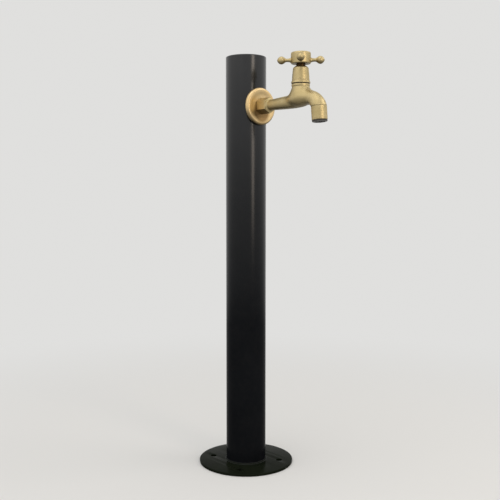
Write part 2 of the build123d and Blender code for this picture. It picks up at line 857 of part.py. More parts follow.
# Plain domed button over the screw
with BuildPart() as index_button:
    with BuildSketch(valve_plane):
        with BuildLine():
            Polyline(
                (0, hub_top + button_crown),
                (0, button_seat + part_gap),
                (button_radius, button_seat + part_gap),
                (button_radius, hub_top),
            )
            button_edge = (button_radius, hub_top)
            button_middle = (0, hub_top + button_crown)
            TangentArc(button_middle, button_edge, tangent=(1, 0))
        make_face()
    revolve(axis=valve_axis)
save(index_button.part, "index_button")

# Smooth collar screwed on the spigot, open below for the aerator
collar_bore = spigot_radius + thread_gap
with BuildPart() as nozzle_collar:
    with BuildSketch(nozzle_plane):
        Polygon(
            (collar_bore, part_gap),
            (nozzle_radius, part_gap),
            (nozzle_radius, collar_foot - nozzle_round),
            (nozzle_radius - nozzle_round, collar_foot),
            (collar_bore, collar_foot),
        )
    revolve(axis=nozzle_axis)
save(nozzle_collar.part, "nozzle_collar")

# Washer between spigot and aerator
with BuildPart() as collar_washer:
    with BuildSketch(nozzle_plane):
        washer_top = spigot_length + part_gap
        ring_section(spigot_bore_radius, aerator_radius, washer_top, washer_top + collar_washer_thickness)
    revolve(axis=nozzle_axis)
save(collar_washer.part, "collar_washer")


# Aerator body: a cup screwed into the collar from below, with a rim that covers the collar's end
with BuildPart() as aerator_body:
    with BuildSketch(nozzle_plane):
        Polygon(
            (0, aerator_top),
            (aerator_radius, aerator_top),
            (aerator_radius, aerator_rim_top),
            (aerator_rim_radius, aerator_rim_top),
            (aerator_rim_radius, nozzle_length - aerator_rim_round),
            (aerator_rim_radius - aerator_rim_round, nozzle_length),
            (aerator_cup_radius, nozzle_length),
            (aerator_cup_radius, aerator_top + aerator_plate),
            (0, aerator_top + aerator_plate),
        )
    revolve(axis=nozzle_axis)
    with BuildSketch(down_nozzle(aerator_top)):
        with PolarLocations(aerator_hole_circle / 2, aerator_hole_count):
            Circle(aerator_hole_radius)
    extrude(amount=aerator_plate, mode=Mode.SUBTRACT)
save(aerator_body.part, "aerator_body")

# Screen near the aerator's foot
screen_radius = aerator_cup_radius - thread_gap
screen_count = int(2 * (screen_radius - screen_bar) / screen_pitch)
with BuildPart() as aerator_screen:
    with BuildSketch(down_nozzle(nozzle_length - screen_recess - screen_thickness)):
        Circle(screen_radius)
        with BuildSketch(mode=Mode.PRIVATE) as openings:
            with GridLocations(screen_pitch, screen_pitch, screen_count, screen_count):
                Rectangle(screen_pitch - screen_bar, screen_pitch - screen_bar)
            Circle(screen_radius - screen_bar, mode=Mode.INTERSECT)
        add(openings.sketch, mode=Mode.SUBTRACT)
    extrude(amount=screen_thickness)
save(aerator_screen.part, "aerator_screen")
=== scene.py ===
import json
from math import cos, pi, radians, sin

import bmesh
import bpy
import numpy as np
from mathutils import Matrix, Vector


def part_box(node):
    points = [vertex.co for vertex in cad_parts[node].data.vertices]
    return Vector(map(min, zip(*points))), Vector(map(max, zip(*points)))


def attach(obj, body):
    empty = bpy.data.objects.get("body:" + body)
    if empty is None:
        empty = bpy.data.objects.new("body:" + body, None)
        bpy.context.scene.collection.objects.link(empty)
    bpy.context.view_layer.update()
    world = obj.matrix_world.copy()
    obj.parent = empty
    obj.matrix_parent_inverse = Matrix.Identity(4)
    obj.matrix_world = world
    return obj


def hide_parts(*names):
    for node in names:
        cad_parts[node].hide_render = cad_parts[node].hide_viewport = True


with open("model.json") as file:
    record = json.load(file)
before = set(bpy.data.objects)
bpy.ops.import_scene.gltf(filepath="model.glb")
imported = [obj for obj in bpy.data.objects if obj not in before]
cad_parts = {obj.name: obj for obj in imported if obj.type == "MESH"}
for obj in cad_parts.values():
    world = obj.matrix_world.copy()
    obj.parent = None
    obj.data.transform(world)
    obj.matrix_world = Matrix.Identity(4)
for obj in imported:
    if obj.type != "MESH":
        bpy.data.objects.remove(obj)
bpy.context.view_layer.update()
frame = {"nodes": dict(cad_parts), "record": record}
nodes = frame["nodes"]
mounts = {mount["name"]: mount for mount in frame["record"]["mounts"]}

# Lengths below are in metres, most of them written as millimetres times MM
MM = 0.001

# Camera, as fitted to the photograph
PHOTO_SIDE = 500
SENSOR_WIDTH = 36.0
FOCAL_PIXELS = 755.2
CAMERA_DISTANCE = 1177.8 * MM
CAMERA_HEIGHT = 419.2 * MM
CAMERA_PITCH = radians(4.06)
CAMERA_HEADING = radians(40.14)
COLUMN_SHIFT_PIXELS = 4.0

# Places taken from the frame
VALVE_X = (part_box("gland_nut")[0].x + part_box("gland_nut")[1].x) / 2
TAP_HEIGHT = (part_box("rosette")[0].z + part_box("rosette")[1].z) / 2
VALVE_CENTRE = (VALVE_X, 0, TAP_HEIGHT)
PLATE_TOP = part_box("base_plate")[1].z
TUBE_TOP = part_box("column_tube")[1].z
TUBE_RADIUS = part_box("column_tube")[1].x
TUBE_WALL = 2 * MM

# Fineness of the turned pieces and the rounding of their corners
LATHE_STEPS = 128
TUBE_STEPS = 192
SMOOTH_ANGLE = radians(32)
ROUND_STEPS = 5
LEAST_TURN = radians(8)
LONGEST_CUT = 0.45
TINY = 1e-7


# Mesh helpers

def new_object(name, data):
    piece = bpy.data.objects.new(name, data)
    bpy.context.scene.collection.objects.link(piece)
    return piece


def as_mesh(bm, name):
    mesh = bpy.data.meshes.new(name)
    bm.to_mesh(mesh)
    bm.free()
    return mesh


def applied(piece):
    """A new mesh of the piece with its modifiers or its curve's fill applied."""
    depsgraph = bpy.context.evaluated_depsgraph_get()
    return bpy.data.meshes.new_from_object(piece.evaluated_get(depsgraph))


def merge(mesh, distance):
    """Joins the mesh's points that lie within the distance of each other."""
    bm = bmesh.new()
    bm.from_mesh(mesh)
    bmesh.ops.remove_doubles(bm, verts=bm.verts, dist=distance)
    bm.to_mesh(mesh)
    bm.free()


def smooth(piece, angle=SMOOTH_ANGLE):
    """Smooth shading, with the edges sharper than the angle kept."""
    bm = bmesh.new()
    bm.from_mesh(piece.data)
    for face in bm.faces:
        face.smooth = True
    for edge in bm.edges:
        edge.smooth = len(edge.link_faces) != 2 or edge.calc_face_angle(pi) < angle
    bm.to_mesh(piece.data)
    bm.free()


def rounded(profile, radius, closed=False):
    """The profile with each corner replaced by an arc of the radius, or less where its runs are short."""
    points = [Vector(point) for point in profile]
    count = len(points)
    result = []
    for index, corner in enumerate(points):
        if not closed and index in (0, count - 1):
            result.append(corner)
            continue
        before = points[index - 1] - corner
        after = points[(index + 1) % count] - corner
        turn = before.angle(after, pi)
        reach = radius / max(np.tan(turn / 2), TINY)
        reach = min(reach, before.length * LONGEST_CUT, after.length * LONGEST_CUT)
        if pi - turn < LEAST_TURN or reach < TINY:
            result.append(corner)
            continue
        start = corner + before.normalized() * reach
        end = corner + after.normalized() * reach
        for step in range(ROUND_STEPS + 1):
            share = step / ROUND_STEPS
            one = start.lerp(corner, share)
            two = corner.lerp(end, share)
            result.append(one.lerp(two, share))
    return result


def lathe(name, profile, origin, axis, closed=False, steps=LATHE_STEPS):
    """Turns (radius, height) points about the axis through origin. A closed profile makes a ring."""
    axis = Vector(axis).normalized()
    turn = axis.to_track_quat("Z", "Y").to_matrix()
    origin = Vector(origin)
    bm = bmesh.new()
    rings = []
    for radius, height in profile:
        if radius < TINY:
            rings.append([bm.verts.new(origin + turn @ Vector((0, 0, height)))])
            continue
        ring = []
        for step in range(steps):
            angle = 2 * pi * step / steps
            point = Vector((radius * cos(angle), radius * sin(angle), height))
            ring.append(bm.verts.new(origin + turn @ point))
        rings.append(ring)
    pairs = list(zip(rings, rings[1:]))
    if closed:
        pairs.append((rings[-1], rings[0]))
    for lower, upper in pairs:
        for step in range(steps):
            after = (step + 1) % steps
            if len(lower) == 1 and len(upper) == 1:
                continue
            if len(lower) == 1:
                bm.faces.new((lower[0], upper[after], upper[step]))
            elif len(upper) == 1:
                bm.faces.new((lower[step], lower[after], upper[0]))
            else:
                bm.faces.new((lower[step], lower[after], upper[after], upper[step]))
    bmesh.ops.recalc_face_normals(bm, faces=bm.faces)
    piece = new_object(name, as_mesh(bm, name))
    smooth(piece)
    return piece


def dress(piece, body, slot, material, *replaced):
    """Gives a piece its material and body, and hides the CAD nodes that it stands for. The slot is not used.
    """
    piece.data.materials.clear()
    piece.data.materials.append(material)
    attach(piece, body)
    if replaced:
        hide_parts(*replaced)
    return piece


# Materials

DUST = (0.05, 0.045, 0.036)
WORN_COAT = (0.04, 0.042, 0.044)
BRASS_MARK = (0.33, 0.25, 0.11)
# Corner brown: patina in the hollows and painted shade
BRASS_CORNER_PATINA_AND_SHADE = (0.10, 0.062, 0.022)
# Brown of a painted shadow
BRASS_PAINTED_SHADOW = (0.17, 0.085, 0.022)
BRASS_EDGE = (0.80, 0.66, 0.40)
EDGE_GAIN = 8.0


class Shader:
    """One node material: short calls for the nodes that the finishes below share."""

    def __init__(self, name):
        self.material = bpy.data.materials.new(name)
        self.material.use_nodes = True
        self.tree = self.material.node_tree
        self.surface = self.tree.nodes["Principled BSDF"]
        self.place = self.tree.nodes.new("ShaderNodeTexCoord").outputs["Object"]

    def add(self, kind, **settings):
        node = self.tree.nodes.new(kind)
        for key, value in settings.items():
            setattr(node, key, value)
        return node

    def link(self, source, target):
        self.tree.links.new(source, target)

    def set(self, socket, value):
        self.surface.inputs[socket].default_value = value

    def scaled(self, scale, centre=(0, 0, 0)):
        """Object coordinates about a centre, scaled on each axis."""
        node = self.add("ShaderNodeMapping", vector_type="POINT")
        node.inputs["Scale"].default_value = scale
        node.inputs["Location"].default_value = [-c * s for c, s in zip(centre, scale)]
        self.link(self.place, node.inputs["Vector"])
        return node.outputs["Vector"]

    def noise(self, size, detail=3.0, roughness=0.5, vector=None):
        """Noise whose cells are about size across."""
        node = self.add("ShaderNodeTexNoise")
        node.inputs["Scale"].default_value = 1.0 / size
        node.inputs["Detail"].default_value = detail
        node.inputs["Roughness"].default_value = roughness
        self.link(vector or self.place, node.inputs["Vector"])
        return node.outputs["Fac"]

    def ramp(self, value, *stops):
        node = self.add("ShaderNodeValToRGB")
        elements = node.color_ramp.elements
        while len(elements) < len(stops):
            elements.new(0.5)
        for element, (position, colour) in zip(elements, stops):
            element.position = position
            element.color = (*colour, 1) if isinstance(colour, tuple) else (colour, colour, colour, 1)
        self.link(value, node.inputs["Fac"])
        return node.outputs["Color"]

    def mix(self, amount, first, second, blend="MIX"):
        node = self.add("ShaderNodeMix", data_type="RGBA", blend_type=blend)
        for socket, value in ((node.inputs[0], amount), (node.inputs[6], first), (node.inputs[7], second)):
            if hasattr(value, "is_output"):
                self.link(value, socket)
            elif isinstance(value, tuple):
                socket.default_value = (*value, 1)
            else:
                socket.default_value = value
        return node.outputs[2]

    def math(self, operation, first, second=0.0):
        node = self.add("ShaderNodeMath", operation=operation)
        for socket, value in zip(node.inputs, (first, second)):
            if hasattr(value, "is_output"):
                self.link(value, socket)
            else:
                socket.default_value = value
        return node.outputs[0]

    def spread(self, value, low, high):
        """A 0 to 1 value brought to the range low to high."""
        node = self.add("ShaderNodeMapRange")
        node.inputs["To Min"].default_value = low
        node.inputs["To Max"].default_value = high
        self.link(value, node.inputs["Value"])
        return node.outputs["Result"]

    def height(self):
        """Height above the ground, in metres."""
        node = self.add("ShaderNodeSeparateXYZ")
        self.link(self.place, node.inputs[0])
        return node.outputs["Z"]

    def facing_up(self):
        """0 where the surface faces the ground, 0.5 on walls and 1 where it faces the sky."""
        node = self.add("ShaderNodeSeparateXYZ")
        self.link(self.add("ShaderNodeNewGeometry").outputs["Normal"], node.inputs[0])
        return self.math("MULTIPLY", self.math("ADD", node.outputs["Z"], 1.0), 0.5)

    def crevices(self, distance):
        """1 on open surfaces, and less in corners nearer than the distance."""
        node = self.add("ShaderNodeAmbientOcclusion", samples=8)
        node.inputs["Distance"].default_value = distance
        return node.outputs["AO"]

    def edges(self, radius):
        """0 on plain surfaces, up to 1 along edges within the radius."""
        bevel = self.add("ShaderNodeBevel", samples=6)
        bevel.inputs["Radius"].default_value = radius
        plain = self.add("ShaderNodeNewGeometry").outputs["Normal"]
        node = self.add("ShaderNodeVectorMath", operation="DOT_PRODUCT")
        self.link(bevel.outputs["Normal"], node.inputs[0])
        self.link(plain, node.inputs[1])
        lost = self.math("SUBTRACT", 1.0, node.outputs["Value"])
        return self.math("MULTIPLY", lost, EDGE_GAIN)

    def bump(self, *layers):
        """Chains (height, depth in metres, strength) bumps into the surface's normal."""
        normal = None
        for height, depth, strength in layers:
            node = self.add("ShaderNodeBump")
            node.inputs["Distance"].default_value = depth
            node.inputs["Strength"].default_value = strength
            self.link(height, node.inputs["Height"])
            if normal is not None:
                self.link(normal, node.inputs["Normal"])
            normal = node.outputs["Normal"]
        self.link(normal, self.surface.inputs["Normal"])

    def colour(self, socket):
        self.link(socket, self.surface.inputs["Base Color"])

    def roughness(self, socket):
        self.link(socket, self.surface.inputs["Roughness"])


def powder_coat(name, dark, light, reflection_by_height, rough, dirt):
    """Black powder coat with a fine orange peel, dust and paler edges.

    The stops from the ground to the top raise the sheen with height, a painted reflection; rough holds the
    range of roughness.
    """
    shader = Shader(name)
    cloud = shader.noise(60 * MM, 4.0)
    peel = shader.noise(0.9 * MM, 2.0, 0.55)
    grain = shader.noise(0.22 * MM, 2.0, 0.6)
    dust = shader.ramp(shader.noise(9 * MM, 6.0, 0.7), (0.45, 0.0), (0.8, 1.0))
    base = shader.ramp(cloud, (0.3, dark), (0.75, light))
    dusty = shader.mix(shader.math("MULTIPLY", dust, dirt), base, DUST)
    worn = shader.mix(shader.math("MULTIPLY", shader.edges(0.7 * MM), 0.3), dusty, WORN_COAT)
    shader.colour(worn)
    shader.roughness(shader.spread(cloud, *rough))
    # Painted reflection: the sheen grows with height, so the column's top shines more than its foot.
    height = shader.math("DIVIDE", shader.height(), TUBE_TOP)
    painted_reflection_level = shader.ramp(height, *reflection_by_height)
    shader.link(painted_reflection_level, shader.surface.inputs["Specular IOR Level"])
    shader.bump((peel, 0.05 * MM, 0.16), (grain, 0.012 * MM, 0.25))
    return shader.material


def brass(
    name, lines, light=(0.68, 0.55, 0.30), deep=(0.55, 0.435, 0.215), corner=4 * MM, open_at=0.62,
    underside_shade_levels=((0.04, 0.30), (0.26, 0.55), (0.42, 0.87), (0.52, 1.0)), painted_shadow=None,
):
    """Brushed antique brass, darker in corners from patina and painted shade, and with painted shade on
    surfaces facing down. lines scales the brush marks about the valve.

    The shade stops run from facing down to facing the sky. The optional painted shadow is a brown patch given
    by its centre and half sizes.
    """
    shader = Shader(name)
    patch = shader.noise(14 * MM, 4.0, 0.6)
    cast = shader.noise(1.6 * MM, 4.0, 0.6)
    pits = shader.noise(0.35 * MM, 2.0, 0.5)
    stretched = shader.scaled(lines, VALVE_CENTRE)
    marks = shader.noise(0.12 * MM, 3.0, 0.65, stretched)
    broad = shader.noise(0.9 * MM, 3.0, 0.6, stretched)
    tone = shader.ramp(patch, (0.32, deep), (0.68, light))
    streaked = shader.mix(shader.spread(broad, 0.0, 0.4), tone, BRASS_MARK)
    # Corners darken towards a brown: partly patina in the hollows, partly painted shade.
    open_surface = shader.ramp(shader.crevices(corner), (0.08, 0.0), (open_at, 1.0))
    patina_and_corner_shade = shader.mix(open_surface, BRASS_CORNER_PATINA_AND_SHADE, streaked)
    # Painted shade: surfaces that face down are darkened, the more so the further down they face.
    under = shader.ramp(shader.facing_up(), *underside_shade_levels)
    painted_shade_tone = shader.mix(1.0, patina_and_corner_shade, under, "MULTIPLY")
    # Painted shadow: an optional brown patch darkens an oval round the given centre.
    if painted_shadow:
        centre, sizes = painted_shadow
        away = shader.add("ShaderNodeVectorMath", operation="LENGTH")
        shader.link(shader.scaled([1 / size for size in sizes], centre), away.inputs[0])
        inside = shader.ramp(away.outputs["Value"], (0.72, 0.8), (1.0, 0.0))
        painted_shade_tone = shader.mix(inside, painted_shade_tone, BRASS_PAINTED_SHADOW)
    bright = shader.mix(shader.math("MULTIPLY", shader.edges(0.6 * MM), 0.45), painted_shade_tone, BRASS_EDGE)
    shader.colour(bright)
    shader.set("Metallic", 1.0)
    rough = shader.mix(0.5, shader.spread(marks, 0.32, 0.54), shader.spread(patch, 0.36, 0.50))
    shader.roughness(rough)
    shader.bump((cast, 0.06 * MM, 0.10), (marks, 0.02 * MM, 0.35), (pits, 0.012 * MM, 0.2))
    return shader.material


def plain_metal(name, light, deep, rough_low, rough_high, line_scale=(1, 1, 1)):
    """Machined or drawn metal for the pieces inside, with fine marks and a slight tarnish."""
    shader = Shader(name)
    patch = shader.noise(8 * MM, 4.0, 0.6)
    marks = shader.noise(0.15 * MM, 3.0, 0.6, shader.scaled(line_scale))
    shader.colour(shader.ramp(patch, (0.3, deep), (0.7, light)))
    shader.set("Metallic", 1.0)
    shader.roughness(shader.spread(marks, rough_low, rough_high))
    shader.bump((marks, 0.02 * MM, 0.3))
    return shader.material


def moulded(name, light, deep, rough_low, rough_high):
    """Moulded rubber, plastic or fibre with a fine skin."""
    shader = Shader(name)
    patch = shader.noise(6 * MM, 4.0, 0.6)
    skin = shader.noise(0.5 * MM, 3.0, 0.6)
    shader.colour(shader.ramp(patch, (0.3, deep), (0.7, light)))
    shader.roughness(shader.spread(skin, rough_low, rough_high))
    shader.bump((skin, 0.03 * MM, 0.35))
    return shader.material


coat = powder_coat(
    "black_powder_coat", (0.0048, 0.0054, 0.0066), (0.0078, 0.0084, 0.0098),
    reflection_by_height=((0.0, 0.012), (0.35, 0.02), (0.65, 0.25), (0.98, 0.64)), rough=(0.17, 0.24), dirt=0.06,
)
plate_coat = powder_coat(
    "black_plate_coat", (0.006, 0.008, 0.0045), (0.010, 0.013, 0.0075),
    reflection_by_height=((0.0, 0.012), (1.0, 0.012)), rough=(0.14, 0.24), dirt=0.10,
)
brass_turned = brass("brass_turned", (0.12, 0.12, 5.0))
brass_cast = brass("brass_cast", (0.35, 2.2, 2.2))
# The rosette's lower rim gets a stronger painted shade, and a painted shadow darkens the dish below the
# hexagon.
brass_rosette = brass(
    "brass_rosette", (5.0, 0.5, 0.5), (0.95, 0.71, 0.39), (0.84, 0.60, 0.29), corner=7 * MM, open_at=0.72,
    underside_shade_levels=((0.08, 0.12), (0.30, 0.36), (0.42, 0.85), (0.50, 1.0)),
    painted_shadow=((0, 0, TAP_HEIGHT - 8 * MM), (1.0, 17 * MM, 18.5 * MM)),
)
# The spokes get wider corner darkening, patina and painted shade, and a stronger painted shade where they
# face down.
brass_spokes = brass(
    "brass_spokes", (1.0, 1.0, 1.4), corner=10 * MM,
    underside_shade_levels=((0.04, 0.2), (0.26, 0.42), (0.42, 0.87), (0.52, 1.0)),
)
brass_dark = plain_metal(
    "brass_dark", (0.075, 0.042, 0.017), (0.03, 0.016, 0.007), 0.34, 0.5, (0.15, 0.15, 4),
)
brass_machined = plain_metal(
    "brass_machined", (0.86, 0.66, 0.33), (0.72, 0.53, 0.24), 0.2, 0.34, (0.2, 0.2, 4),
)
copper = plain_metal("copper_tube", (0.83, 0.45, 0.30), (0.62, 0.30, 0.18), 0.22, 0.4, (3, 3, 0.1))
zinc = plain_metal("zinc_steel", (0.62, 0.63, 0.64), (0.45, 0.46, 0.48), 0.28, 0.42)
rubber = moulded("black_rubber", (0.028, 0.028, 0.027), (0.014, 0.014, 0.014), 0.55, 0.75)
fibre = moulded("dark_fibre", (0.05, 0.033, 0.02), (0.022, 0.015, 0.01), 0.6, 0.85)
packing = moulded("white_packing", (0.82, 0.81, 0.77), (0.66, 0.65, 0.6), 0.5, 0.7)
dark_insert = moulded("dark_insert", (0.035, 0.028, 0.02), (0.014, 0.012, 0.01), 0.3, 0.5)

SLOT_MATERIALS = {
    "black_coat": coat,
    "antique_brass": brass_cast,
    "dark_brass": brass_dark,
    "plain_brass": brass_machined,
    "copper": copper,
    "zinc_steel": zinc,
    "black_rubber": rubber,
    "dark_fibre": fibre,
    "white_packing": packing,
    "dark_plastic": dark_insert,
}
for subpart in frame["record"]["subparts"]:
    mesh = nodes[subpart["node"]].data
    mesh.materials.clear()
    mesh.materials.append(SLOT_MATERIALS[subpart["material_slot"]])


# Base plate: a filled outline with rounded edges and four open anchor holes

PLATE_EDGE = 0.8 * MM
PLATE_STEPS = 192
INLET_HOLE = 11.8 * MM
ANCHOR_TURN = radians(39)


def circle_spline(curve, radius, centre=(0, 0), points=96):
    spline = curve.splines.new("POLY")
    spline.points.add(points - 1)
    for index, point in enumerate(spline.points):
        angle = 2 * pi * index / points
        point.co = (centre[0] + radius * cos(angle), centre[1] + radius * sin(angle), 0, 1)
    spline.use_cyclic_u = True


def base_plate():
    low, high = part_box("base_plate")
    holes = mounts["anchor_holes"]["dims"]
    curve = bpy.data.curves.new("plate_outline", "CURVE")
    curve.dimensions = "2D"
    curve.fill_mode = "BOTH"
    curve.extrude = (high.z - low.z) / 2 - PLATE_EDGE
    curve.bevel_depth = PLATE_EDGE
    curve.bevel_resolution = 3
    curve.offset = -PLATE_EDGE
    circle_spline(curve, high.x, points=PLATE_STEPS)
    circle_spline(curve, INLET_HOLE)
    for number in range(holes["count"]):
        angle = ANCHOR_TURN + 2 * pi * number / holes["count"]
        reach = holes["pcd_mm"] / 2 * MM
        circle_spline(curve, holes["hole_r_mm"] * MM, (reach * cos(angle), reach * sin(angle)), 64)
    holder = new_object("plate_curve", curve)
    mesh = applied(holder)
    bpy.data.objects.remove(holder)
    mesh.transform(Matrix.Translation((0, 0, (low.z + high.z) / 2)))
    mesh.name = "plate_disc"
    piece = new_object("plate_disc", mesh)
    merge(mesh, 0.01 * MM)
    smooth(piece)
    return dress(piece, "column", "black_coat", plate_coat, "base_plate")


# Column: tube, lid and weld bead

CAP_EDGE = 1.2 * MM
CAP_EDGE_STEPS = 8
CAP_GROOVE = 0.12 * MM
CAP_SKIRT = 12 * MM
CAP_SKIRT_OUTSIDE = 0.1 * MM
CAP_SKIRT_INSIDE = 1.9 * MM
WELD_LEG = 2.0 * MM
WELD_CROWN = 0.1 * MM
WELD_INTO_TUBE = 0.2 * MM
WELD_RIPPLES = 150
WELD_RIPPLE_SHARE = 0.10
WELD_WAVES = 23
WELD_WAVE_SHARE = 0.05
WELD_STEPS = WELD_RIPPLES * 4
WELD_FACE_STEPS = 5


def column():
    inner = TUBE_RADIUS - TUBE_WALL
    tube = [(inner, PLATE_TOP), (TUBE_RADIUS, PLATE_TOP), (TUBE_RADIUS, TUBE_TOP), (inner, TUBE_TOP)]
    shell = lathe("column_shell", tube, (0, 0, 0), (0, 0, 1), closed=True, steps=TUBE_STEPS)
    dress(shell, "column", "black_coat", coat, "column_tube")
    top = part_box("top_cap")[1].z
    edge = [
        (TUBE_RADIUS - CAP_EDGE * (1 - sin(turn)), top - CAP_EDGE * (1 - cos(turn)))
        for turn in (pi / 2 * step / CAP_EDGE_STEPS for step in range(CAP_EDGE_STEPS + 1))
    ]
    lid = [(0, top)] + edge + [
        (TUBE_RADIUS, TUBE_TOP + CAP_GROOVE),
        (TUBE_RADIUS - CAP_GROOVE, TUBE_TOP),
        (inner - CAP_SKIRT_OUTSIDE, TUBE_TOP),
        (inner - CAP_SKIRT_OUTSIDE, TUBE_TOP - CAP_SKIRT),
        (inner - CAP_SKIRT_INSIDE, TUBE_TOP - CAP_SKIRT),
        (inner - CAP_SKIRT_INSIDE, TUBE_TOP),
        (0, TUBE_TOP),
    ]
    cap = lathe("cap_lid", lid, (0, 0, 0), (0, 0, 1), steps=TUBE_STEPS)
    dress(cap, "column", "black_coat", coat, "top_cap")


def weld_bead():
    """Fillet bead round the tube's foot, with a fine ripple and a slow change of width."""
    bm = bmesh.new()
    rings = []
    for step in range(WELD_STEPS):
        angle = 2 * pi * step / WELD_STEPS
        ripple = WELD_RIPPLE_SHARE * sin(WELD_RIPPLES * angle)
        wave = WELD_WAVE_SHARE * sin(WELD_WAVES * angle)
        leg = WELD_LEG * (1 + ripple + wave)
        ring = [(TUBE_RADIUS - WELD_INTO_TUBE, 0.0)]
        for index in range(WELD_FACE_STEPS + 1):
            turn = pi / 2 * index / WELD_FACE_STEPS
            out = leg * (1 - sin(turn)) + WELD_CROWN * sin(2 * turn)
            ring.append((TUBE_RADIUS + out, leg * (1 - cos(turn))))
        rings.append([bm.verts.new((r * cos(angle), r * sin(angle), PLATE_TOP + h)) for r, h in ring])
    for index, ring in enumerate(rings):
        after = rings[(index + 1) % WELD_STEPS]
        for corner in range(len(ring)):
            nxt = (corner + 1) % len(ring)
            bm.faces.new((ring[corner], ring[nxt], after[nxt], after[corner]))
    bmesh.ops.recalc_face_normals(bm, faces=bm.faces)
    piece = new_object("weld_bead", as_mesh(bm, "weld_bead"))
    smooth(piece, radians(50))
    return dress(piece, "column", "black_coat", plate_coat, "foot_weld")


# Rosette: rolled rim, shallow dish and flat seat, turned about the tap's axis

ROSETTE_STEPS = 160
ROSETTE_BACK_POINTS = 7
ROSETTE_RIM_POINTS = 13
ROSETTE_DISH_POINTS = 17
ROSETTE_WALL = 1.6 * MM
ROSETTE_BORE = 10.6 * MM
ROSETTE_DISH = 15.2 * MM
ROSETTE_DISH_DEPTH = 1.3 * MM
ROSETTE_RIM_SIDE = 2.7 * MM
ROSETTE_BACK_ROUND = 1.1 * MM
ROSETTE_HOLLOW = 0.2 * MM


def rosette():
    low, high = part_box("rosette")
    radius = (high.z - low.z) / 2
    back = low.x
    rim_front = back + ROSETTE_RIM_SIDE
    crown = high.x
    roll = crown - rim_front
    crown_radius = radius - roll
    face = crown - ROSETTE_DISH_DEPTH
    inside = radius - ROSETTE_WALL
    profile = []
    for turn in np.linspace(0, pi / 2, ROSETTE_BACK_POINTS):
        profile.append((
            radius - ROSETTE_BACK_ROUND * (1 - sin(turn)), back + ROSETTE_BACK_ROUND * (1 - cos(turn)),
        ))
    for turn in np.linspace(0, pi / 2, ROSETTE_RIM_POINTS):
        profile.append((crown_radius + roll * cos(turn), rim_front + roll * sin(turn)))
    for share in np.linspace(0, 1, ROSETTE_DISH_POINTS)[1:]:
        drop = (1 - cos(pi * share)) / 2
        across = crown_radius + (ROSETTE_DISH - crown_radius) * share
        profile.append((across, crown - (crown - face) * drop))
    profile += [
        (ROSETTE_BORE, face), (ROSETTE_BORE, face - ROSETTE_WALL), (ROSETTE_DISH, face - ROSETTE_WALL),
        (crown_radius, crown - ROSETTE_WALL - ROSETTE_HOLLOW), (inside, rim_front), (inside, back),
    ]
    dish = lathe("rosette_dish", profile, (0, 0, TAP_HEIGHT), (1, 0, 0), closed=True, steps=ROSETTE_STEPS)
    return dress(dish, "column", "antique_brass", brass_rosette, "rosette")


# Turned pieces on the valve's axis, as shares of their own box's radius and height

def turned(name, node, shares, edge, body, closed=True):
    low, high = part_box(node)
    radius = (high.y - low.y) / 2
    height = high.z - low.z
    profile = [(share * radius, rise * height) for share, rise in shares]
    piece = lathe(name, rounded(profile, edge, closed), (VALVE_X, 0, low.z), (0, 0, 1), closed)
    return dress(piece, body, "antique_brass", brass_turned, node)


COVER_SHARES = (
    (0.900, 0.0), (1.0, 0.0), (1.0, 0.028), (0.975, 0.105), (0.925, 0.128), (0.918, 0.165), (0.900, 0.173),
    (0.915, 0.181), (0.911, 0.225), (0.895, 0.233), (0.908, 0.241), (0.897, 0.34), (0.876, 0.521),
    (0.845, 0.70), (0.812, 0.875), (0.790, 0.915), (0.620, 1.0), (0.482, 1.0), (0.482, 0.958),
    (0.577, 0.958), (0.737, 0.86), (0.803, 0.521), (0.847, 0.144), (0.854, 0.0),
)
HUB_SHARES = (
    (0.0, 0.0), (0.937, 0.0), (1.0, 0.055), (1.0, 0.865), (0.985, 0.925), (0.93, 0.975), (0.845, 1.0),
    (0.745, 1.0), (0.735, 0.93), (0.0, 0.93),
)
BUTTON_SHARES = (
    (0.0, 0.0), (1.0, 0.0), (1.0, 0.52), (0.93, 0.62), (0.8, 0.76), (0.6, 0.89), (0.4, 0.96), (0.2, 0.992),
    (0.0, 1.0),
)


def headwork():
    turned("cover_sleeve", "headwork_cover", COVER_SHARES, 0.35 * MM, "column")
    turned("hub_body", "handle_hub", HUB_SHARES, 0.5 * MM, "handle", closed=False)
    turned("hub_button", "index_button", BUTTON_SHARES, 0.2 * MM, "handle", closed=False)


# Spokes: a waist that flares into a ball, and a blunt tip, as (radius, reach) in millimetres

SPOKE_STEPS = 64
SPOKE_PROFILE = (
    (0.0, 12.6), (3.6, 12.6), (3.6, 14.5), (2.9, 15.3), (2.5, 17.4), (2.35, 19.6), (2.5, 21.0), (3.1, 22.3),
    (3.95, 23.4), (4.7, 24.5), (5.3, 25.8), (5.58, 27.0), (5.55, 28.3), (5.1, 29.7), (4.3, 31.0), (3.1, 32.2),
    (1.7, 33.1), (0.6, 33.6), (0.0, 33.6),
)


def spokes():
    for number in range(1, 5):
        node = f"handle_spoke_{number}"
        low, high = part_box(node)
        middle = (low + high) / 2
        along = Vector((middle.x - VALVE_X, middle.y, 0)).normalized()
        profile = [(radius * MM, reach * MM) for radius, reach in SPOKE_PROFILE]
        spoke = lathe(f"spoke_{number}", profile, (VALVE_X, 0, middle.z), along, steps=SPOKE_STEPS)
        smooth(spoke, radians(60))
        dress(spoke, "handle", "antique_brass", brass_spokes, node)


# Outlet ring on the nozzle's own axis, above the aerator's dark rim

RING_TOP = 0.1 * MM
RING_BORE = 9.25 * MM
RING_CHAMFER = 0.7 * MM
RING_BREAK = 0.2 * MM
RING_GROOVE = 0.25 * MM
LINE_DEPTH = 0.15 * MM
LINE_EDGES = (2.4 * MM, 2.25 * MM, 2.0 * MM, 1.85 * MM)


